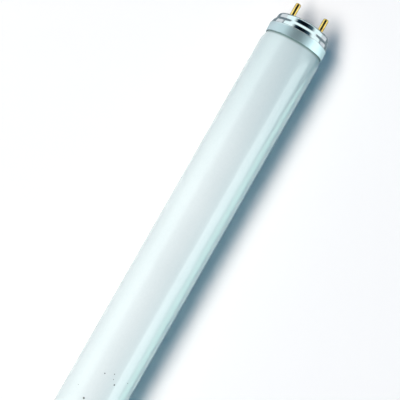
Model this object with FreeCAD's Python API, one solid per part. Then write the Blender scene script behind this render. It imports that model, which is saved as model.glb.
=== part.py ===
import FreeCAD, Part
import math
import os

# A straight fluorescent tube, 26 mm across, with a two-pin cap on each end.
# It lies along X with its middle at the origin, and the two pins of a cap stand side by side along Y.
# Sizes are millimetres. A depth is a distance from the cap's face towards the middle of the lamp.

Vector = FreeCAD.Vector
lamp_middle = Vector(0, 0, 0)
lamp_axis = Vector(1, 0, 0)

# The lamp over all
face_to_face = 589.8
pin_reach = 7.1
pin_spacing = 12.7

# Glass tube: full bore, then a neck that goes into the cap, then the sealed rim
glass_diameter = 26.0
glass_wall = 0.55
neck_length = 2.6
neck_before_cap = 0.3
neck_start_rounding = 8.0
seal_before_skirt = 0.6
seal_thickness = 1.4
seal_rim_width = 2.6
seal_bevel = 0.7

# Glass stem: a flare that turns back into the tube from the rim and ends in a flat press
stem_inside_pins = 0.15
stem_wall = 0.9
flare_end_depth = 13.0
stem_end_depth = 24.0
fishtail_length = 6.0
press_length = 5.0
press_thickness = 3.2

# Exhaust tube: drawn off and melted shut once the lamp was filled
exhaust_diameter = 3.5
exhaust_bore = 2.0
exhaust_tip_depth = 5.8
exhaust_tip_length = 1.8
exhaust_tip_flat = 1.2

# Aluminium cap shell: one pressing of thin sheet, with a shoulder of two slopes behind a tapered end ring
cap_length = 8.8
cap_wall = 0.3
skirt_below_glass = 0.3
gentle_slope_length = 1.3
gentle_slope_drop = 0.55
steep_slope_length = 1.0
steep_slope_drop = 0.65
ring_length = 2.25
ring_narrowing = 0.25
rim_bevel = 0.7
rim_width = 1.55

# Insulating disc, pressed forwards into the tapered ring as far as the turned-over rim
disc_thickness = 1.5

# Cement between neck and skirt
cement_gap = 0.25
cement_recess = 0.6
cement_behind_shoulder = 0.25

# Contact pins: rivets drawn down on the lead wires, collared outside the disc and flared behind it
pin_diameter = 2.35
pin_fit = 0.05
pin_tip_bevel = 0.3
collar_diameter = 3.3
collar_height = 0.5
flare_diameter = 3.2
flare_height = 0.4

# Lead wires: out of the press, past the exhaust tube and through the pins
wire_diameter = 0.5
wire_seat = 4.0
wire_seat_spacing = 5.2
wire_bend_gap = 1.0

# Radii and places that follow from the sizes above
half_length = face_to_face / 2
pin_offset = pin_spacing / 2
glass_radius = glass_diameter / 2
skirt_radius = glass_radius - skirt_below_glass
skirt_bore_radius = skirt_radius - cap_wall
neck_radius = skirt_bore_radius - cement_gap
neck_end_depth = cap_length + neck_before_cap
neck_start_depth = neck_end_depth + neck_length
shoulder_middle_radius = skirt_radius - gentle_slope_drop
ring_back_radius = shoulder_middle_radius - steep_slope_drop
ring_face_radius = ring_back_radius - ring_narrowing
ring_taper = math.atan(ring_narrowing / ring_length)
stem_radius = pin_offset - stem_inside_pins
stem_bore_radius = stem_radius - stem_wall
disc_back_depth = cap_wall + disc_thickness
shoulder_middle_depth = ring_length + steep_slope_length
skirt_start_depth = shoulder_middle_depth + gentle_slope_length
seal_depth = skirt_start_depth - seal_before_skirt
pin_back_depth = disc_back_depth + flare_height


def at_depth(depth):
    """The X of a place this deep behind the face of the right-hand cap."""
    return half_length - depth


def rounded_wire(corners, closed=True):
    """Straight edges from corner to corner (x, y, rounding), with a tangent arc where there is a rounding."""
    points = [Vector(x, y, 0) for x, y, _ in corners]
    count = len(corners)
    arrivals = []
    departures = []
    arcs = []
    for index, (_, _, rounding) in enumerate(corners):
        corner = points[index]
        is_end = not closed and index in (0, count - 1)
        if is_end or rounding == 0:
            arrivals.append(corner)
            departures.append(corner)
            arcs.append(None)
            continue
        back = (points[index - 1] - corner).normalize()
        ahead = (points[(index + 1) % count] - corner).normalize()
        half_angle = back.getAngle(ahead) / 2
        tangent_length = rounding / math.tan(half_angle)
        inward = (back + ahead).normalize()
        nearest = corner + inward * (rounding / math.sin(half_angle) - rounding)
        arrivals.append(corner + back * tangent_length)
        departures.append(corner + ahead * tangent_length)
        arcs.append(Part.Arc(arrivals[-1], nearest, departures[-1]).toShape())
    edges = []
    for index in range(count):
        if arcs[index]:
            edges.append(arcs[index])
        following = (index + 1) % count
        if following == 0 and not closed:
            break
        edges.append(Part.LineSegment(departures[index], arrivals[following]).toShape())
    return Part.Wire(edges)


def placed(corners):
    """Corners (depth, radius) or (depth, radius, rounding) as (x, y, rounding)."""
    return [(at_depth(depth), radius, rounding[0] if rounding else 0) for depth, radius, *rounding in corners]


def turned(corners):
    """A solid of revolution about the lamp's axis, from a closed outline of corners."""
    return Part.Face(rounded_wire(placed(corners))).revolve(lamp_middle, lamp_axis, 360)


def round_bar(diameter, from_depth, to_depth, offset=0.0):
    """A cylinder along the lamp's axis between two depths, moved sideways by the offset."""
    start = Vector(at_depth(max(from_depth, to_depth)), offset, 0)
    return Part.makeCylinder(diameter / 2, abs(to_depth - from_depth), start, lamp_axis)


def glass_wall_of_revolution():
    """Tube wall, necks, sealed rims and flares of both ends, as one outline turned about the axis."""
    neck_bore_radius = neck_radius - glass_wall
    flare_rim_radius = neck_radius - seal_rim_width
    right_end = [
        (neck_start_depth, glass_radius, neck_start_rounding),
        (neck_end_depth, neck_radius),
        (seal_depth + seal_bevel, neck_radius),
        (seal_depth, neck_radius - seal_bevel),
        (seal_depth, flare_rim_radius),
        (flare_end_depth, stem_bore_radius),
        (stem_end_depth, stem_bore_radius),
        (stem_end_depth, stem_radius),
        (flare_end_depth, stem_radius),
        (seal_depth + seal_thickness, neck_bore_radius),
        (neck_end_depth, neck_bore_radius),
        (neck_start_depth, glass_radius - glass_wall),
    ]
    left_end = [(face_to_face - depth, *rest) for depth, *rest in reversed(right_end)]
    return turned(right_end + left_end)


def press_and_exhaust():
    """The right-hand stem's end: the tube squeezed flat on the wires, and the exhaust tube in its middle."""
    press_start_depth = stem_end_depth + fishtail_length
    press_end_depth = press_start_depth + press_length
    upper_line = [
        (stem_end_depth, stem_radius),
        (press_start_depth, press_thickness / 2),
        (press_end_depth, press_thickness / 2),
    ]
    lower_line = [(depth, -height) for depth, height in reversed(upper_line)]
    side_view = Part.Face(rounded_wire(placed(upper_line + lower_line)))
    side_view.rotate(lamp_middle, lamp_axis, 90)
    slab = side_view.extrude(Vector(0, 2 * stem_radius, 0)).translated(Vector(0, -stem_radius, 0))
    press = round_bar(2 * stem_radius, stem_end_depth, press_end_depth).common(slab)
    exhaust_radius = exhaust_diameter / 2
    exhaust = turned([
        (exhaust_tip_depth, 0),
        (exhaust_tip_depth, exhaust_tip_flat / 2),
        (exhaust_tip_depth + exhaust_tip_length, exhaust_radius),
        (stem_end_depth, exhaust_radius),
        (stem_end_depth, 0),
    ])
    exhaust_hole = round_bar(exhaust_bore, exhaust_tip_depth + exhaust_tip_length, press_end_depth)
    solid = press.fuse(exhaust).cut(exhaust_hole)
    for side in (-1, 1):
        solid = solid.cut(lead_wire(side))
    return solid


def glass_tube():
    """The sealed glass bulb, hollow, with a stem, press and exhaust tube at each end."""
    right = press_and_exhaust()
    left = right.mirror(lamp_middle, lamp_axis)
    return glass_wall_of_revolution().fuse([right, left])


def cap_shell():
    """The right-hand cap: skirt, shoulder of two slopes, tapered ring and turned-over rim, all one sheet."""
    outside = [
        (cap_length, skirt_radius),
        (skirt_start_depth, skirt_radius),
        (shoulder_middle_depth, shoulder_middle_radius),
        (ring_length, ring_back_radius),
        (rim_bevel, ring_face_radius + rim_bevel * math.tan(ring_taper)),
        (0, ring_face_radius - rim_bevel),
        (0, ring_face_radius - rim_width),
    ]
    line = rounded_wire(placed(outside), False)
    sheet = line.makeOffset2D(cap_wall, join=2, fill=True, openResult=True)
    return sheet.revolve(lamp_middle, lamp_axis, 360)


def ring_bore_radius(depth):
    """The radius inside the tapered end ring at this depth."""
    return ring_face_radius - cap_wall / math.cos(ring_taper) + depth * math.tan(ring_taper)


def insulator_disc():
    """The right-hand disc that carries the pins: its edge fits the ring's taper, bevelled under the rim."""
    bevel_end_depth = cap_wall + rim_bevel
    disc = turned([
        (cap_wall, 0),
        (cap_wall, ring_bore_radius(cap_wall) - rim_bevel),
        (bevel_end_depth, ring_bore_radius(bevel_end_depth)),
        (disc_back_depth, ring_bore_radius(disc_back_depth)),
        (disc_back_depth, 0),
    ])
    for side in (-1, 1):
        disc = disc.cut(round_bar(pin_diameter + 2 * pin_fit, cap_wall, disc_back_depth, side * pin_offset))
    return disc


def cement_ring():
    """Cement that fills the space between the right-hand neck and the inside of the skirt."""
    mouth_depth = cap_length - cement_recess
    back_depth = skirt_start_depth + cement_behind_shoulder
    return turned([
        (mouth_depth, skirt_bore_radius),
        (back_depth, skirt_bore_radius),
        (back_depth, neck_radius),
        (mouth_depth, neck_radius),
    ])


def contact_pin(side):
    """A pin of the right-hand cap, held in the disc between its collar and its flared end."""
    radius = pin_diameter / 2
    pin = turned([
        (-pin_reach, wire_diameter / 2),
        (-pin_reach, radius - pin_tip_bevel),
        (pin_tip_bevel - pin_reach, radius),
        (cap_wall - collar_height, radius),
        (cap_wall, collar_diameter / 2),
        (cap_wall, radius),
        (disc_back_depth, radius),
        (pin_back_depth, flare_diameter / 2),
        (pin_back_depth, wire_diameter / 2),
    ])
    return pin.translated(Vector(0, side * pin_offset, 0))


def lead_wire(side):
    """A wire from its seat in the right-hand press, out along the flare and, mitred, through its pin."""
    seat = Vector(at_depth(stem_end_depth + wire_seat), side * wire_seat_spacing / 2, 0)
    bend = Vector(at_depth(pin_back_depth + wire_bend_gap), side * pin_offset, 0)
    tip = Vector(at_depth(-pin_reach), side * pin_offset, 0)
    section = Part.Wire([Part.Circle(seat, bend - seat, wire_diameter / 2).toShape()])
    return Part.makePolygon([seat, bend, tip]).makePipeShell([section], True, False, 1)


def main():
    pieces = {"glass_tube": glass_tube()}
    for name, shape in (("cap_shells", cap_shell()), ("cement_rings", cement_ring())):
        pieces[name] = Part.makeCompound([shape, shape.mirror(lamp_middle, lamp_axis)])
    right_end = {"insulator_disc": insulator_disc()}
    for place, side in (("front", -1), ("back", 1)):
        right_end["contact_pin_" + place] = contact_pin(side)
        right_end["lead_wire_" + place] = lead_wire(side)
    for name, shape in right_end.items():
        pieces[name + "_right"] = shape
        pieces[name + "_left"] = shape.mirror(lamp_middle, lamp_axis)
    os.makedirs("parts", exist_ok=True)
    for name, shape in pieces.items():
        shape.exportStep("parts/" + name + ".step")
        print(name, shape.ShapeType, len(shape.Solids), shape.isValid(), round(shape.Volume, 2))


main()
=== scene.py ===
# %% [markdown]
# A straight fluorescent tube lies on a white table, seen from straight above at one end.
# The imported CAD part is the frame: it sets every size, and what is built here goes around it.
# The frame is loaded first, and the boxes of its nodes are read for the sizes.

# %% Load the frame
import math

import bpy
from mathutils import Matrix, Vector


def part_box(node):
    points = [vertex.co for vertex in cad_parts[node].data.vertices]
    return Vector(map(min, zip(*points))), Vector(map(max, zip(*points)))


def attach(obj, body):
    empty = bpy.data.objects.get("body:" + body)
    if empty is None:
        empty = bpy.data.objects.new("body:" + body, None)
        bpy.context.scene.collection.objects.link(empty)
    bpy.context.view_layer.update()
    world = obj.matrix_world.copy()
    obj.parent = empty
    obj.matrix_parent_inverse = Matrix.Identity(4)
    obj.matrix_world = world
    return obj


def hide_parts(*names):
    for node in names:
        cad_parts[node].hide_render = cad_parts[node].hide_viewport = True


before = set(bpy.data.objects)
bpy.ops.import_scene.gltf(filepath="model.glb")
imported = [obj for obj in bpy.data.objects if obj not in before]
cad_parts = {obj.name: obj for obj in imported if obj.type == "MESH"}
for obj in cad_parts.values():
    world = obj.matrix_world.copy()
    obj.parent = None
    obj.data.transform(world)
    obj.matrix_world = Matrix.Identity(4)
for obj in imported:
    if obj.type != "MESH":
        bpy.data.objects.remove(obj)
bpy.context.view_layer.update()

# %% [markdown]
# All sizes are read in millimetres, because that is how lamp sizes are given, and one value turns them
# to Blender's metres. The places along the lamp come from the CAD nodes, so both models stay together:
# the cap's face is where the shell ends, and the glass radius is half the widest part of the box.

# %% Sizes that come from the frame
mm = 0.001
shell_low, shell_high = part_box("cap_shells")
glass_low, glass_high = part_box("glass_tube")
disc_low, disc_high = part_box("insulator_disc_right")
pin_low, pin_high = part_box("contact_pin_back_right")
cap_face = shell_high.x / mm
glass_radius = glass_high.y / mm
skirt_radius = shell_high.y / mm
seal_depth = cap_face - glass_high.x / mm
disc_front_depth = cap_face - disc_high.x / mm
disc_back_depth = cap_face - disc_low.x / mm
pin_reach = pin_high.x / mm - cap_face
pin_back_depth = cap_face - pin_low.x / mm
pin_flare_radius = (pin_high.y - pin_low.y) / 2 / mm
pin_offset = (pin_high.y + pin_low.y) / 2 / mm
print("cap face at %.1f mm, glass radius %.2f mm, pins at +-%.2f mm" % (cap_face, glass_radius, pin_offset))

# %% [markdown]
# Blender's materials want linear colours, while a colour that is read from a picture or a paint chart is
# an sRGB hex value. One function does that change. A second one adds a shader or geometry node with its
# settings and links, so that each tree below reads as a short list of steps.

# %% Helpers for colours and nodes
def linear(hex_colour):
    """An sRGB hex value such as 'D0D8DC' as a linear colour with alpha."""
    channels = [int(hex_colour[i:i + 2], 16) / 255 for i in (0, 2, 4)]
    return [c / 12.92 if c <= 0.04045 else ((c + 0.055) / 1.055) ** 2.4 for c in channels] + [1.0]


def add_node(tree, kind, links=(), values=(), **settings):
    """Adds a node: settings are its properties, values its inputs, links (input, socket that feeds it)."""
    node = tree.nodes.new(kind)
    for name, value in settings.items():
        setattr(node, name, value)
    for place, value in dict(values).items():
        node.inputs[place].default_value = value
    for place, socket in dict(links).items():
        tree.links.new(socket, node.inputs[place])
    return node


print("sRGB 808080 is %.3f in linear light" % linear("808080")[0])

# %% [markdown]
# Nearly every part of this lamp was made round its own axis: the glass was drawn as a tube, the caps
# were pressed from a round blank, and the pins were turned. So one rule makes them all: a half outline
# is turned about the X axis. Spinning in mesh code would do, but here Geometry Nodes apply the rule,
# because the number of sides and the place of the axis stay open as named inputs.
# The tree lays out a grid with one row for each outline point and one column for each side. Each grid
# point looks up its outline point and is swung round the axis, and then the seam is merged.

# %% The tree that turns an outline about the lamp's axis
merge_distance = 0.001 * mm


def turning_tree():
    """Turns an outline in the XY plane about the X axis, at either end of the lamp or at both."""
    tree = bpy.data.node_groups.new("turn_outline_about_x", "GeometryNodeTree")
    face = tree.interface
    face.new_socket("Outline", in_out="INPUT", socket_type="NodeSocketGeometry")
    face.new_socket("Sides", in_out="INPUT", socket_type="NodeSocketInt")
    face.new_socket("Axis Offset Y", in_out="INPUT", socket_type="NodeSocketFloat")
    face.new_socket("Both Ends", in_out="INPUT", socket_type="NodeSocketBool")
    face.new_socket("Left End", in_out="INPUT", socket_type="NodeSocketBool")
    face.new_socket("Finish", in_out="INPUT", socket_type="NodeSocketMaterial")
    face.new_socket("Turned", in_out="OUTPUT", socket_type="NodeSocketGeometry")
    given = add_node(tree, "NodeGroupInput").outputs
    rows = add_node(tree, "GeometryNodeAttributeDomainSize", {"Geometry": given["Outline"]})
    columns = add_node(tree, "ShaderNodeMath", {0: given["Sides"]}, {1: 1.0}, operation="ADD").outputs[0]
    grid = add_node(tree, "GeometryNodeMeshGrid", {"Vertices X": rows.outputs["Point Count"],
                                                   "Vertices Y": columns})
    index = add_node(tree, "GeometryNodeInputIndex").outputs[0]
    rows_before = add_node(tree, "ShaderNodeMath", {0: index, 1: columns}, operation="DIVIDE").outputs[0]
    row = add_node(tree, "ShaderNodeMath", {0: rows_before}, operation="FLOOR").outputs[0]
    column = add_node(tree, "ShaderNodeMath", {0: index, 1: columns}, operation="MODULO").outputs[0]
    turn = add_node(tree, "ShaderNodeMath", {0: column, 1: given["Sides"]}, operation="DIVIDE").outputs[0]
    angle = add_node(tree, "ShaderNodeMath", {0: turn}, {1: 2 * math.pi}, operation="MULTIPLY").outputs[0]
    place = add_node(tree, "GeometryNodeInputPosition").outputs[0]
    sample = add_node(tree, "GeometryNodeSampleIndex", data_type="FLOAT_VECTOR")
    tree.links.new(given["Outline"], sample.inputs["Geometry"])
    tree.links.new(place, sample.inputs["Value"])
    tree.links.new(row, sample.inputs["Index"])
    outline = add_node(tree, "ShaderNodeSeparateXYZ", {0: sample.outputs[0]}).outputs
    sine = add_node(tree, "ShaderNodeMath", {0: angle}, operation="SINE").outputs[0]
    cosine = add_node(tree, "ShaderNodeMath", {0: angle}, operation="COSINE").outputs[0]
    across = add_node(tree, "ShaderNodeMath", {0: cosine, 1: outline["Y"]}, operation="MULTIPLY").outputs[0]
    up = add_node(tree, "ShaderNodeMath", {0: sine, 1: outline["Y"]}, operation="MULTIPLY").outputs[0]
    moved = add_node(tree, "ShaderNodeMath", {0: across, 1: given["Axis Offset Y"]},
                     operation="ADD").outputs[0]
    swung = add_node(tree, "ShaderNodeCombineXYZ", {"X": outline["X"], "Y": moved, "Z": up}).outputs[0]
    skin = add_node(tree, "GeometryNodeSetPosition", {"Geometry": grid.outputs["Mesh"], "Position": swung})
    closed = add_node(tree, "GeometryNodeMergeByDistance", {"Geometry": skin.outputs[0]},
                      {"Distance": merge_distance})
    mirrored = add_node(tree, "GeometryNodeTransform", {"Geometry": closed.outputs[0]}, {"Scale": (-1, 1, 1)})
    flipped = add_node(tree, "GeometryNodeFlipFaces", {"Mesh": mirrored.outputs[0]}).outputs[0]
    pair = add_node(tree, "GeometryNodeJoinGeometry").inputs["Geometry"]
    tree.links.new(closed.outputs[0], pair)
    tree.links.new(flipped, pair)
    one = add_node(tree, "GeometryNodeSwitch", {
        "Switch": given["Left End"], "False": closed.outputs[0], "True": flipped}, input_type="GEOMETRY")
    ends = add_node(tree, "GeometryNodeSwitch", {
        "Switch": given["Both Ends"], "False": one.outputs[0], "True": pair.node.outputs[0]},
        input_type="GEOMETRY")
    real = add_node(tree, "GeometryNodeRealizeInstances", {"Geometry": ends.outputs[0]}).outputs[0]
    finish = add_node(tree, "GeometryNodeSetMaterial", {"Geometry": real, "Material": given["Finish"]})
    add_node(tree, "NodeGroupOutput", {0: finish.outputs[0]})
    return tree


turn_about_axis = turning_tree()
print("nodes in the turning tree:", len(turn_about_axis.nodes))

# %% [markdown]
# An outline is written as corners, each with the radius of its rounding, the way a drawing gives it.
# Real glass and pressed sheet have no sharp edge, and the thin bright lines of a photo sit on those
# roundings. A Bevel modifier could round the finished mesh, but in the outline each edge gets its own
# radius. The next function swaps each corner for points on its tangent arc, a few degrees apart.

# %% Outlines with rounded corners
arc_step = math.radians(7.5)


def rounded(corners):
    """Points along corners (depth, radius, rounding), with an arc of points at each rounded corner."""
    points = []
    for index, (depth, radius, rounding) in enumerate(corners):
        corner = Vector((depth, radius))
        if rounding == 0:
            points.append(corner)
            continue
        back = (Vector(corners[index - 1][:2]) - corner).normalized()
        ahead = (Vector(corners[(index + 1) % len(corners)][:2]) - corner).normalized()
        half = back.angle(ahead) / 2
        middle = corner + (back + ahead).normalized() * rounding / math.sin(half)
        first = corner + back * rounding / math.tan(half) - middle
        turn = math.pi - 2 * half
        sense = 1 if back.x * ahead.y - back.y * ahead.x < 0 else -1
        steps = max(2, round(turn / arc_step))
        for step in range(steps + 1):
            swing = sense * turn * step / steps
            points.append(middle + Vector((first.x * math.cos(swing) - first.y * math.sin(swing),
                                           first.x * math.sin(swing) + first.y * math.cos(swing))))
    return points


print("points on a rounded square corner:", len(rounded([(0, 0, 0), (1, 0, 0.5), (1, 1, 0)])))

# %% [markdown]
# The tree could stay live on its piece, but the export wants a plain mesh with its place in it. So each
# outline gets the modifier, the turned result is read back as a mesh, and the helper object goes. The
# lines that belong to one piece, such as the two skins of the glass, end up in one mesh. It is shaded
# smooth, except where two faces meet at more than 40 degrees.

# %% From outlines to a plain piece
smooth_below = math.radians(40.0)


def turned_piece(name, lines, finish, **inputs):
    """Turns outlines of (depth, radius) points about the axis, and returns them as one plain piece."""
    sockets = {item.name: item.identifier for item in turn_about_axis.interface.items_tree}
    points, faces = [], []
    for line in lines:
        outline = bpy.data.meshes.new(name + "_outline")
        outline.from_pydata([((cap_face - p.x) * mm, p.y * mm, 0) for p in line], [], [])
        maker = bpy.data.objects.new(name + "_maker", outline)
        bpy.context.scene.collection.objects.link(maker)
        turning = maker.modifiers.new("turn", "NODES")
        turning.node_group = turn_about_axis
        for label, value in {"Finish": finish, **inputs}.items():
            turning[sockets[label.replace("_", " ")]] = value
        evaluated = maker.evaluated_get(bpy.context.evaluated_depsgraph_get())
        turned = bpy.data.meshes.new_from_object(evaluated)
        first = len(points)
        points += [v.co.copy() for v in turned.vertices]
        faces += [[first + i for i in polygon.vertices] for polygon in turned.polygons]
        maker.modifiers.remove(turning)
        bpy.data.objects.remove(maker)
        bpy.data.meshes.remove(outline)
        bpy.data.meshes.remove(turned)
    shell = bpy.data.meshes.new(name)
    shell.from_pydata(points, [], faces)
    shell.materials.append(finish)
    shell.polygons.foreach_set("use_smooth", [True] * len(shell.polygons))
    shell.set_sharp_from_angle(angle=smooth_below)
    piece = bpy.data.objects.new(name, shell)
    bpy.context.scene.collection.objects.link(piece)
    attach(piece, "root")
    print("%s: %d points, %d faces" % (name, len(shell.vertices), len(shell.polygons)))
    return piece


print("faces that meet below %.0f degrees are smooth" % math.degrees(smooth_below))

# %% [markdown]
# Every material starts from the Principled shader. Patterns could follow a UV map, but these pieces need
# none: Object coordinates are a piece's own places in metres, so a pattern in them has a real size. The
# Scale of a noise is one over that size, which a small function works out from millimetres.

# %% Helpers for materials
def new_material(name):
    """A new material, its node tree and its shader."""
    material = bpy.data.materials.new(name)
    material.use_nodes = True
    tree = material.node_tree
    return material, tree, tree.nodes["Principled BSDF"]


def per_mm(size):
    """The scale of a pattern on Object coordinates that repeats about every so many millimetres."""
    return 1 / (size * mm)


print("a pattern of 1 mm has the scale", round(per_mm(1.0)))

# %% [markdown]
# The bulb is soda-lime glass with a white phosphor powder baked on its inside. The powder is what gives
# the colour: matt, a little cloudy, bluish white. It has soft clouds a few centimetres wide and a fine
# grain, drawn coarser than the real one, as coarse as it needs to show. Towards the caps the colour is
# drawn greyer, which is painted shade for the darker light near the cap. Just before the cap the powder
# was wiped off, and a thin line of bare glass shows as grey; that grey is partly the bare glass and
# partly painted shade under the skirt's edge. A picture could give such patterns too, but noise is
# enough for a surface without direction. The values of a noise lie mostly between 0.3 and 0.8, so each
# Map Range starts and ends within that.

# %% Material of the bulb: the baked powder
powder_white = "F4F6F8"
# This greyer powder colour serves the clouds and grain, and also the painted shade towards the caps.
powder_grey_and_cap_shade = "D8E1E5"
# Partly bare glass, partly painted shade: the grey line at the cap's mouth also stands for the shade under
# the skirt's edge.
bare_glass_and_mouth_shade = "748A8A"
cloud_size = 22.0
cloud_share = 0.12
grain_size = 0.9
grain_share = 0.1
powder_end = cap_face - 9.2
powder_fade = 0.8
# Painted shade: over this length the powder colour is drawn greyer towards each cap.
cap_shade_length = 84.0
cap_shade_power = 1.5

coated_glass, tree, shader = new_material("powder_coated_soda_lime_glass")
where = add_node(tree, "ShaderNodeTexCoord").outputs["Object"]
clouds = add_node(tree, "ShaderNodeTexNoise", {"Vector": where}, {"Scale": per_mm(cloud_size), "Detail": 3.0})
grain = add_node(tree, "ShaderNodeTexNoise", {"Vector": where}, {"Scale": per_mm(grain_size), "Detail": 2.0})
along = add_node(tree, "ShaderNodeSeparateXYZ", {0: where}).outputs["X"]
from_middle = add_node(tree, "ShaderNodeMath", {0: along}, operation="ABSOLUTE").outputs[0]
# Painted shade in part: the grey line of bare glass at the mouth also stands for the shade under the skirt's
# edge.
bare = add_node(tree, "ShaderNodeMapRange", {"Value": from_middle}, {
    "From Min": (powder_end - powder_fade) * mm, "From Max": powder_end * mm})
thin = add_node(tree, "ShaderNodeMapRange", {"Value": clouds.outputs[0]}, {
    "From Min": 0.35, "From Max": 0.7, "To Max": cloud_share})
speckle = add_node(tree, "ShaderNodeMapRange", {"Value": grain.outputs[0]}, {
    "From Min": 0.4, "From Max": 0.75, "To Max": grain_share})
# Painted shade: the colour turns greyer towards each cap, for the darker light there.
cap_shade_ramp = add_node(tree, "ShaderNodeMapRange", {"Value": from_middle}, {
    "From Min": (cap_face - cap_shade_length) * mm, "From Max": powder_end * mm}).outputs[0]
painted_cap_shade = add_node(tree, "ShaderNodeMath", {0: cap_shade_ramp}, {1: cap_shade_power}, operation="POWER").outputs[0]
uneven = add_node(tree, "ShaderNodeMath", {0: thin.outputs[0], 1: speckle.outputs[0]},
                  operation="ADD").outputs[0]
share = add_node(tree, "ShaderNodeMath", {0: uneven, 1: painted_cap_shade}, operation="ADD",
                 use_clamp=True).outputs[0]
powder = add_node(tree, "ShaderNodeMix", {0: share}, {6: linear(powder_white), 7: linear(powder_grey_and_cap_shade)},
                  data_type="RGBA").outputs[2]
coated = add_node(tree, "ShaderNodeMix", {0: bare.outputs[0], 6: powder}, {7: linear(bare_glass_and_mouth_shade)},
                  data_type="RGBA").outputs[2]
print(coated_glass.name, "has powder from %.1f mm off the cap's face" % (cap_face - powder_end))

# %% [markdown]
# A few specks of dirt lie on the glass where the photo has them, 16 cm from the cap. They are too flat
# to need a mesh, so each is a soft spot in the colour, round a place on the glass.

# %% Material of the bulb: specks of dirt
speck_grey = "3C4648"
speck_core = 0.6
speck_edge = 1.3
# Each speck is (depth from the cap's face, place aside, radius), in millimetres.
specks = [(169.9, 3.0, 0.4), (159.8, -4.8, 0.32), (157.5, 0.65, 0.24), (156.0, -2.8, 0.2),
          (158.0, -3.45, 0.16), (166.9, 7.5, 0.14), (157.3, -9.1, 0.17)]

for depth, aside, radius in specks:
    spot = ((cap_face - depth) * mm, aside * mm, math.sqrt(glass_radius ** 2 - aside ** 2) * mm)
    away = add_node(tree, "ShaderNodeVectorMath", {0: where}, {1: spot}, operation="DISTANCE")
    dirt = add_node(tree, "ShaderNodeMapRange", {"Value": away.outputs["Value"]}, {
        "From Min": speck_core * radius * mm, "From Max": speck_edge * radius * mm,
        "To Min": 1.0, "To Max": 0.0})
    coated = add_node(tree, "ShaderNodeMix", {0: dirt.outputs[0], 6: coated}, {7: linear(speck_grey)},
                      data_type="RGBA").outputs[2]
tree.links.new(coated, shader.inputs["Base Color"])
print("specks of dirt:", len(specks))

# %% [markdown]
# The clear glass in front of the powder adds the gloss, and it is faintly green where it is seen at a
# slant, because the light then has more of it to cross. Powder under a see-through wall could be two
# surfaces, but one surface with a coat layer renders faster. The tint of the coat is the green, and its
# index is a little over that of glass, because the wall mirrors at both of its faces.

# %% Material of the bulb: the glass over the powder
powder_roughness = 0.55
powder_sheen = 0.15
glass_green = "F4FCFA"
glass_roughness = 0.04
two_face_index = 1.65

shader.inputs["Roughness"].default_value = powder_roughness
shader.inputs["Coat Weight"].default_value = 1.0
shader.inputs["Coat Roughness"].default_value = glass_roughness
shader.inputs["Coat IOR"].default_value = two_face_index
shader.inputs["Coat Tint"].default_value = linear(glass_green)
shader.inputs["Sheen Weight"].default_value = powder_sheen
print(coated_glass.name, "with", len(tree.nodes), "nodes")

# %% [markdown]
# The bulb itself is a long cylinder that is drawn in at each end to a neck, which goes into the cap and
# is melted on to the flare of the stem. It is open to nothing, so its outline is two lines that each
# start and end on the axis: the outer skin and the skin of the sealed space inside. The CAD node could
# be kept, but its facets would show in the gloss. The long soft curve where the bulb meets the neck is
# what a reflection follows in the photo, so it gets real roundings.

# %% Build the bulb
glass_wall = 0.55
neck_radius = 12.15
neck_end_depth = 9.1
neck_start_depth = 11.7
flare_end_depth = 13.0
stem_radius = 6.2
stem_bore_radius = 5.3
stem_close_depth = 24.0
stem_tip_wall = 1.2
seal_wall = 1.4
seal_rounding = 0.7
seal_rim_width = 2.6
flare_rim_radius = neck_radius - seal_rim_width
middle_depth = cap_face

skin_end = [(stem_close_depth, 0, 0), (stem_close_depth, stem_bore_radius, 1.5),
            (flare_end_depth, stem_bore_radius, 4.0), (seal_depth, flare_rim_radius, 0.3),
            (seal_depth, neck_radius, seal_rounding), (neck_end_depth, neck_radius, 4.0),
            (neck_start_depth, glass_radius, 8.0), (middle_depth, glass_radius, 0)]
stem_tip_depth = stem_close_depth + stem_tip_wall
inner_end = [(stem_tip_depth, 0, 0), (stem_tip_depth, stem_radius, 2.0), (flare_end_depth, stem_radius, 4.0),
             (seal_depth + seal_wall, neck_radius - glass_wall, 0.3),
             (neck_end_depth, neck_radius - glass_wall, 4.0),
             (neck_start_depth, glass_radius - glass_wall, 8.0), (middle_depth, glass_radius - glass_wall, 0)]


def with_mirror(points):
    """A line from the right-hand end to the lamp's middle, and on to the left-hand end."""
    return points + [Vector((2 * middle_depth - p.x, p.y)) for p in reversed(points[:-1])]


outer_skin = with_mirror(rounded(skin_end))
inner_skin = list(reversed(with_mirror(rounded(inner_end))))
bulb = turned_piece("coated_glass_bulb", [outer_skin, inner_skin], coated_glass, Sides=160)
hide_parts("glass_tube")

# %% [markdown]
# The caps are aluminium sheet, pressed in one go: a satin skirt from the drawing die, then a shoulder
# and an end ring that the last tool burnished. The satin is rough and a little darker. The burnished
# metal is bright and five times as smooth, and faint stains a few millimetres wide take its colour a
# little towards the satin's. Fine lines run round the cap from the die: noise that changes fast along
# the axis and hardly at all round it. The shader's Anisotropic value could stretch the reflections as
# such lines do, but it shows no line. The real lines are too fine for the picture, so they are drawn
# as coarse as they need to show.

# %% Material of the caps: drawn aluminium sheet
aluminium_burnished = "D0D8DC"
aluminium_satin = "C6D7DD"
satin_roughness = 0.53
burnished_roughness = 0.1
stain_size = 4.0
stain_share = 0.3
draw_line_spacing = 0.12
draw_line_stretch = 0.02
draw_line_depth = 0.01
draw_line_bump = 0.12
smoothest_line = 0.85
roughest_line = 1.2
skirt_start_depth = 4.95
burnish_fade = 0.3

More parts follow.
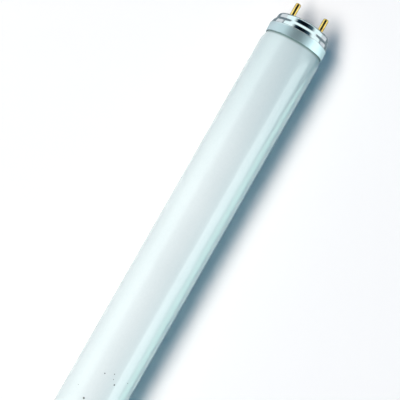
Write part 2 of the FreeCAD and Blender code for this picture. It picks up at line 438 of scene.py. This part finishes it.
aluminium, tree, shader = new_material("drawn_aluminium_sheet")
shader.inputs["Metallic"].default_value = 1.0
where = add_node(tree, "ShaderNodeTexCoord").outputs["Object"]
along = add_node(tree, "ShaderNodeSeparateXYZ", {0: where}).outputs["X"]
from_middle = add_node(tree, "ShaderNodeMath", {0: along}, operation="ABSOLUTE").outputs[0]
squeezed = add_node(tree, "ShaderNodeVectorMath", {0: where},
                    {1: (1.0, draw_line_stretch, draw_line_stretch)}, operation="MULTIPLY")
lines = add_node(tree, "ShaderNodeTexNoise", {"Vector": squeezed.outputs[0]},
                 {"Scale": per_mm(draw_line_spacing), "Detail": 2.0})
stains = add_node(tree, "ShaderNodeTexNoise", {"Vector": where}, {"Scale": per_mm(stain_size), "Detail": 4.0})
burnished = add_node(tree, "ShaderNodeMapRange", {"Value": from_middle}, {
    "From Min": (cap_face - skirt_start_depth - burnish_fade) * mm,
    "From Max": (cap_face - skirt_start_depth) * mm}).outputs[0]
mean_rough = add_node(tree, "ShaderNodeMapRange", {"Value": burnished}, {
    "To Min": satin_roughness, "To Max": burnished_roughness}).outputs[0]
uneven = add_node(tree, "ShaderNodeMapRange", {"Value": lines.outputs[0]}, {
    "To Min": smoothest_line, "To Max": roughest_line}).outputs[0]
rough = add_node(tree, "ShaderNodeMath", {0: mean_rough, 1: uneven}, operation="MULTIPLY")
tree.links.new(rough.outputs[0], shader.inputs["Roughness"])
dull = add_node(tree, "ShaderNodeMapRange", {"Value": stains.outputs[0]}, {
    "From Min": 0.45, "From Max": 0.75, "To Max": stain_share}).outputs[0]
bright = add_node(tree, "ShaderNodeMath", {0: burnished, 1: dull}, operation="SUBTRACT",
                  use_clamp=True).outputs[0]
metal = add_node(tree, "ShaderNodeMix", {0: bright},
                 {6: linear(aluminium_satin), 7: linear(aluminium_burnished)}, data_type="RGBA").outputs[2]
tree.links.new(metal, shader.inputs["Base Color"])
bump = add_node(tree, "ShaderNodeBump", {"Height": lines.outputs[0]},
                {"Strength": draw_line_bump, "Distance": draw_line_depth * mm})
tree.links.new(bump.outputs[0], shader.inputs["Normal"])
print(aluminium.name, "with", len(tree.nodes), "nodes")

# %% [markdown]
# The cap's section is a line of sheet 0.3 mm thick. A Solidify modifier could thicken a turned line,
# but then its cut edges stay square. So the outer line and the inner line are both written as corners
# with their roundings, and joined at the mouth of the skirt and at the hole in the end face, which
# closes the turned shell. The shoulder has a steep slope and a gentle one, which mirror different
# things, and a tiny step where the skirt begins, which catches a thin bright line.

# %% Build the two cap shells
sheet = 0.3
cap_length = 8.8
step_length = 0.15
step_height = 0.12
shoulder_middle_depth = 3.35
shoulder_middle_radius = 12.2
shoulder_bend_shift = 0.1
ring_length = 2.25
ring_bend_shift = 0.05
ring_back_radius = 11.5
ring_face_radius = 11.25
rim_opening_radius = 9.7

outer_line = [(cap_length, skirt_radius, 0.1), (skirt_start_depth, skirt_radius, 0.08),
              (skirt_start_depth - step_length, skirt_radius - step_height, 0.08),
              (shoulder_middle_depth, shoulder_middle_radius, 1.0), (ring_length, ring_back_radius, 0.2),
              (0, ring_face_radius, 1.0), (0, rim_opening_radius, 0.1)]
inner_line = [(sheet, rim_opening_radius, 0.1), (sheet, ring_face_radius - sheet, 0.7),
              (ring_length + ring_bend_shift, ring_back_radius - sheet, 0.4),
              (shoulder_middle_depth + shoulder_bend_shift, shoulder_middle_radius - sheet, 0.7),
              (skirt_start_depth, skirt_radius - sheet, 0.5), (cap_length, skirt_radius - sheet, 0.1)]
cap_outline = rounded(outer_line + inner_line)
cap_outline.append(cap_outline[0])
caps = turned_piece("drawn_cap_shells", [cap_outline], aluminium, Sides=144, Both_Ends=True)
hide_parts("cap_shells")

# %% [markdown]
# The pins are brass, turned bright and hollow for the lead wires. Brass is yellow because it takes the
# blue out of what it mirrors. A yellow light could fake that, but the colour belongs on the metal, or
# the table would turn yellow too. A little tarnish darkens it in patches a millimetre or two wide, and
# makes them less smooth.

# %% Material of the pins: bright turned brass
brass_bright = "F0D07C"
brass_tarnish = "C6964E"
tarnish_size = 1.4
turned_roughness = 0.07
tarnished_roughness = 0.16

brass, tree, shader = new_material("bright_turned_brass")
shader.inputs["Metallic"].default_value = 1.0
where = add_node(tree, "ShaderNodeTexCoord").outputs["Object"]
tarnish = add_node(tree, "ShaderNodeTexNoise", {"Vector": where},
                   {"Scale": per_mm(tarnish_size), "Detail": 4.0})
patch = add_node(tree, "ShaderNodeMapRange", {"Value": tarnish.outputs[0]},
                 {"From Min": 0.45, "From Max": 0.8})
colour = add_node(tree, "ShaderNodeMix", {0: patch.outputs[0]},
                  {6: linear(brass_bright), 7: linear(brass_tarnish)}, data_type="RGBA").outputs[2]
tree.links.new(colour, shader.inputs["Base Color"])
gloss = add_node(tree, "ShaderNodeMapRange", {"Value": tarnish.outputs[0]}, {
    "From Min": 0.3, "From Max": 0.8, "To Min": turned_roughness, "To Max": tarnished_roughness})
tree.links.new(gloss.outputs[0], shader.inputs["Roughness"])
print(brass.name, "with", len(tree.nodes), "nodes")

# %% [markdown]
# Each pin has a rounded tip, a straight shank, a collar against the disc and a flared end behind it.
# The wire ends flush in the tip, so the pin has a bore as wide as the wire. Copies of one object would
# do, but a piece's place belongs in its mesh here. So the tree turns the same outline four times, moved
# off the axis by half the pin spacing, and mirrored for the left-hand cap.

# %% Build the four contact pins
pin_radius = 1.175
wire_radius = 0.25
collar_radius = 1.65
collar_height = 0.5

pin_outline = rounded([(-pin_reach, wire_radius, 0.1), (-pin_reach, pin_radius, 0.7),
                       (disc_front_depth - collar_height, pin_radius, 0.25),
                       (disc_front_depth, collar_radius, 0.1), (disc_front_depth, pin_radius, 0),
                       (disc_back_depth, pin_radius, 0), (pin_back_depth, pin_flare_radius, 0.1),
                       (pin_back_depth, wire_radius, 0)])
pin_outline.append(pin_outline[0])
for place, side in (("front", -1), ("back", 1)):
    for end in ("right", "left"):
        pin = turned_piece("brass_pin_%s_%s" % (place, end), [pin_outline], brass, Sides=48,
                           Axis_Offset_Y=side * pin_offset * mm, Left_End=(end == "left"))
        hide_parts("contact_pin_%s_%s" % (place, end))

# %% [markdown]
# The rest of the lamp could be built again too, but it stays as the CAD nodes give it, because its plain
# shapes are right: the discs of phenolic paper board, the rings of baked cement and the lead wires. Each
# still gets its real finish. Phenolic board is brown resin over pressed paper, so it is mottled in
# patches about half a millimetre wide. Cement is grainy, and the wire is a dull grey metal.

# %% Materials of the discs, the cement and the wires
roughness_spread = 0.1
grain_bump = 0.4


def mixed_material(name, light, dark, size, roughness, metallic=0.0, bump_depth=0.0):
    """A material whose colour and roughness wander between two values in patches of one size."""
    material, tree, shader = new_material(name)
    where = add_node(tree, "ShaderNodeTexCoord").outputs["Object"]
    noise = add_node(tree, "ShaderNodeTexNoise", {"Vector": where}, {"Scale": per_mm(size), "Detail": 5.0})
    share = add_node(tree, "ShaderNodeMapRange", {"Value": noise.outputs[0]},
                     {"From Min": 0.35, "From Max": 0.7})
    colour = add_node(tree, "ShaderNodeMix", {0: share.outputs[0]}, {6: linear(light), 7: linear(dark)},
                      data_type="RGBA").outputs[2]
    tree.links.new(colour, shader.inputs["Base Color"])
    rough = add_node(tree, "ShaderNodeMapRange", {"Value": noise.outputs[0]}, {
        "To Min": roughness - roughness_spread, "To Max": roughness + roughness_spread})
    tree.links.new(rough.outputs[0], shader.inputs["Roughness"])
    shader.inputs["Metallic"].default_value = metallic
    if bump_depth:
        bump = add_node(tree, "ShaderNodeBump", {"Height": noise.outputs[0]},
                        {"Strength": grain_bump, "Distance": bump_depth * mm})
        tree.links.new(bump.outputs[0], shader.inputs["Normal"])
    return material


phenolic = mixed_material("pressed_phenolic_paper_board", light="6B452B", dark="452A1A", size=0.6,
                          roughness=0.5, bump_depth=0.03)
cement = mixed_material("baked_basing_cement", light="BFA98A", dark="8D7A60", size=0.35,
                        roughness=0.85, bump_depth=0.08)
wire_metal = mixed_material("drawn_nickel_iron_wire", light="B9B6AF", dark="8F8C86", size=0.5,
                            roughness=0.35, metallic=1.0)

finishes = {"insulator_disc": phenolic, "cement_rings": cement, "lead_wire": wire_metal}
for node_name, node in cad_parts.items():
    for start, material in finishes.items():
        if node_name.startswith(start):
            node.data.materials.clear()
            node.data.materials.append(material)
            print(node_name, "is", material.name)

# %% [markdown]
# The table is plain white, and the photo shows nothing of it but the lamp's soft blue shadow. A white
# background would do without that shadow. It has to stay, so the table is a real surface under the
# lights. It is pure white for the camera, in mirrors and through glass. What it throws back on the lamp
# as light is a little grey and cool, as from dull paper.

# %% The table
def shown_ray(tree):
    """1 for the rays that show a thing: camera rays, and rays in a mirror or through glass; 0 for light."""
    path = add_node(tree, "ShaderNodeLightPath").outputs
    seen = add_node(tree, "ShaderNodeMath", {0: path["Is Camera Ray"], 1: path["Is Glossy Ray"]},
                    operation="MAXIMUM")
    return add_node(tree, "ShaderNodeMath", {0: seen.outputs[0], 1: path["Is Transmission Ray"]},
                    operation="MAXIMUM").outputs[0]


floor_size = 4.0
floor_height = -glass_radius * mm
table_white = "FFFFFF"
table_bounce = "9EB1B5"

bpy.ops.mesh.primitive_plane_add(size=floor_size, location=(0, 0, floor_height))
table = bpy.context.object
table.name = "white_table"
paper, tree, shader = new_material("matt_white_table")
paper_colour = add_node(tree, "ShaderNodeMix", {0: shown_ray(tree)},
                        {6: linear(table_bounce), 7: linear(table_white)}, data_type="RGBA").outputs[2]
tree.links.new(paper_colour, shader.inputs["Base Color"])
shader.inputs["Roughness"].default_value = 1.0
shader.inputs["Specular IOR Level"].default_value = 0.0
table.data.materials.append(paper)
print(table.name, "is %.1f m wide, its top at %.1f mm" % (floor_size, floor_height / mm))

# %% [markdown]
# The light is a long soft panel, high on the photo's left and roughly parallel to the lamp. So the
# shadow falls to the right, fades within a centimetre and also runs out softly past the lamp's end.
# What reaches the shadow is a weak blue light from all round and a pale green one from low on the
# right. A picture of a room could light the lamp too, but panels can be moved and dimmed one by one.
# The bright surroundings are for the camera, for mirrors and for glass only, by the light path.

# %% Lamps and surroundings
wall_white = "F2FFFD"
wall_strength = 1.4
fill_blue = "225C7E"
fill_strength = 0.85
faced_place = Vector((0.2, 0, 0))

world = bpy.data.worlds.new("white_studio")
bpy.context.scene.world = world
world.use_nodes = True
tree = world.node_tree
tree.nodes.clear()
fill = add_node(tree, "ShaderNodeBackground", values={"Color": linear(fill_blue), "Strength": fill_strength})
white = add_node(tree, "ShaderNodeBackground",
                 values={"Color": linear(wall_white), "Strength": wall_strength})
mix = add_node(tree, "ShaderNodeMixShader", {0: shown_ray(tree), 1: fill.outputs[0], 2: white.outputs[0]})
add_node(tree, "ShaderNodeOutputWorld", {0: mix.outputs[0]})


def soft_panel(name, middle, length, width, power, colour):
    """A rectangular panel that faces the lamp, its long side level; places and sizes are in metres."""
    light = bpy.data.lights.new(name, "AREA")
    light.shape = "RECTANGLE"
    light.size = length
    light.size_y = width
    light.energy = power
    light.color = linear(colour)[:3]
    panel = bpy.data.objects.new(name, light)
    bpy.context.scene.collection.objects.link(panel)
    panel.location = middle
    panel.rotation_mode = "QUATERNION"
    panel.rotation_quaternion = (Vector(middle) - faced_place).to_track_quat("Z", "Y")
    panel.visible_glossy = False


soft_panel("key_panel_left", middle=(-0.45, 1.42, 3.05), length=2.9, width=1.0, power=140, colour="FFF7EF")
soft_panel("low_panel_right", middle=(0.2, -3.0, 0.09), length=3.0, width=0.18, power=23, colour="D4F4EA")

# %% [markdown]
# Metal shows what is round it. A room could be built for that, but a few glowing cards are enough. Only
# mirrored rays see them, so they light nothing matt, cast no shadow and stay out of the picture.

# %% Helper for the cards that metal and glass mirror
def glowing_card(name, points, faces):
    """A card that only mirrored rays see; returns its node tree and the node that makes it glow."""
    mesh = bpy.data.meshes.new(name)
    mesh.from_pydata(points, [], faces)
    card = bpy.data.objects.new(name, mesh)
    bpy.context.scene.collection.objects.link(card)
    for ray in ("camera", "diffuse", "transmission", "volume_scatter", "shadow"):
        setattr(card, "visible_" + ray, False)
    material, tree, shader = new_material(name)
    tree.nodes.remove(shader)
    glow = add_node(tree, "ShaderNodeEmission")
    tree.links.new(glow.outputs[0], tree.nodes["Material Output"].inputs["Surface"])
    mesh.materials.append(material)
    return tree, glow


print("what mirrors see besides the cards: white of strength", wall_strength)

# %% [markdown]
# In the photo the burnished ring mirrors a dark blue ceiling that fades to a bright wall on each side,
# the right one brighter, and the satin skirt blurs them to grey. Two cards stand for the ceiling and the
# right wall. The light of each changes across its width, which a colour ramp gives. A ramp's colours
# are kept to 1 here, so they are shares of the brightest strength that a card may have.

# %% The cards for the ceiling and the right wall
brightest = 4.0


def high_card(name, height, leans, stops):
    """A card over the lamp's end, with its places given as angles seen from the cap's face.

    The two leans are how far its edges lie back and forth along the lamp. Each stop is (turn to the right
    of straight up, colour, strength), and between stops the light changes evenly."""
    points = []
    for turn, colour, strength in stops:
        slant = height / math.cos(math.radians(turn))
        aside = -height * math.tan(math.radians(turn))
        points += [(cap_face * mm + slant * math.tan(math.radians(lean)), aside, height) for lean in leans]
    faces = [(i, i + 1, i + 3, i + 2) for i in range(0, len(points) - 2, 2)]
    tree, glow = glowing_card(name, points, faces)
    where = add_node(tree, "ShaderNodeTexCoord").outputs["Object"]
    across = add_node(tree, "ShaderNodeSeparateXYZ", {0: where}).outputs["Y"]
    slope = add_node(tree, "ShaderNodeMath", {0: across}, {1: -height}, operation="DIVIDE").outputs[0]
    angle = add_node(tree, "ShaderNodeMath", {0: slope}, operation="ARCTANGENT").outputs[0]
    share = add_node(tree, "ShaderNodeMapRange", {"Value": angle}, {
        "From Min": math.radians(stops[0][0]), "From Max": math.radians(stops[-1][0])}).outputs[0]
    ramp = add_node(tree, "ShaderNodeValToRGB", {0: share})
    places = ramp.color_ramp.elements
    while len(places) < len(stops):
        places.new(0.5)
    for place, (turn, colour, strength) in zip(places, stops):
        place.position = (turn - stops[0][0]) / (stops[-1][0] - stops[0][0])
        place.color = [c * strength / brightest for c in linear(colour)[:3]] + [1.0]
    tree.links.new(ramp.outputs[0], glow.inputs["Color"])
    glow.inputs["Strength"].default_value = brightest
    print(name, "is %.1f m wide" % (points[0][1] - points[-1][1]))


right_wall_strength = 3.3
ceiling_stops = [(-52, wall_white, wall_strength), (-36, "1A3444", 1.0), (-18, "060E16", 1.0),
                 (8, "0A1620", 1.0), (34, "45606E", 1.0), (50, wall_white, wall_strength)]
wall_stops = [(36, wall_white, wall_strength), (52, wall_white, right_wall_strength),
              (86, wall_white, right_wall_strength)]
high_card("dark_ceiling", height=3.0, leans=(-35, 60), stops=ceiling_stops)
high_card("bright_right_wall", height=3.1, leans=(-50, 14), stops=wall_stops)

# %% [markdown]
# The outer edges of the cap mirror the table close beside it, and the leaning slopes of ring and
# shoulder mirror the table beyond the end. Both were grey in the photo, because the table lies in the
# lamp's shade there. The glass mirrors the table beside it, which was bright on the right. The table
# could be painted so, but then the camera would see it. More cards, flat and a millimetre over the
# table, stand for that: a grey strip on each side of the cap, the wider one on the right, where the
# satin skirt shows it too, a grey fan beyond the end, and a bright card beside the glass. The grey
# strips and fan are painted shade, seen only in mirrors.

# %% Cards just over the table
# Painted shade: the grey of the table where it lies in the lamp's shade, seen only in mirrors.
mirrored_table_shade = "8C9A9F"
table_bright = "DCFFF2"
table_bright_strength = 2.8
card_lift = 1.0
strip_inner = 13.5
strip_end = cap_face + 8.0
left_start = cap_face - 3.0
left_outer = 29.0
right_start = cap_face - 7.0
right_outer = 70.0
fan_middle = cap_face + 26.0
fan_width = 46.0
fan_spread = 1.5
far = 600.0
bright_start = -45.0
bright_end = cap_face - 10.0


def table_card(name, corners, faces, colour, strength):
    """A card just over the table, with its corners (x, y) in millimetres."""
    points = [(x * mm, y * mm, floor_height + card_lift * mm) for x, y in corners]
    tree, glow = glowing_card(name, points, faces)
    glow.inputs["Color"].default_value = linear(colour)
    glow.inputs["Strength"].default_value = strength
    print(name, "has", len(faces), "faces")


def strip(side, start, outer):
    """The corners of a strip beside the cap, on the left (1) or the right (-1), out to a given edge."""
    return [(start, side * strip_inner), (start, side * outer), (strip_end, side * outer),
            (strip_end, side * strip_inner)]


strips = strip(1, left_start, left_outer) + strip(-1, right_start, right_outer)
fan = [(strip_end, -left_outer), (fan_middle, -fan_width), (cap_face + far, -fan_spread * far),
       (cap_face + far, fan_spread * far), (fan_middle, fan_width), (strip_end, left_outer)]
# The grey strips and fan are painted shade, seen only in mirrors.
table_card("table_shade_cards", strips + fan, [(0, 1, 2, 3), (4, 5, 6, 7), tuple(range(8, 14))],
           mirrored_table_shade, strength=1.0)
bright_corners = [(-cap_face, -far), (bright_end, -far), (bright_end, bright_start),
                  (-cap_face, bright_start)]
table_card("bright_table_card", bright_corners, [(0, 1, 2, 3)], table_bright, table_bright_strength)

# %% [markdown]
# The photo was taken from straight above, with a camera about 36 cm over the lamp's axis and 8 cm back
# from the cap's face. The lamp runs to the upper right of the picture, 60.3 degrees from the
# horizontal, so the camera is turned by that.

# %% Camera
view_turn = math.radians(-60.3)
camera_height = 356.0
camera_depth = 81.0
camera_aside = 1.9
focal_length = 79.8
sensor_width = 36.0

camera = bpy.data.objects.new("camera", bpy.data.cameras.new("camera"))
bpy.context.scene.collection.objects.link(camera)
camera.data.lens = focal_length
camera.data.sensor_width = sensor_width
camera.location = ((cap_face - camera_depth) * mm, camera_aside * mm, camera_height * mm)
camera.rotation_euler = (0, 0, view_turn)
bpy.context.scene.camera = camera
bpy.context.scene.view_settings.view_transform = "Standard"
print("camera %.0f mm up, focal length %.1f mm" % (camera_height, focal_length))
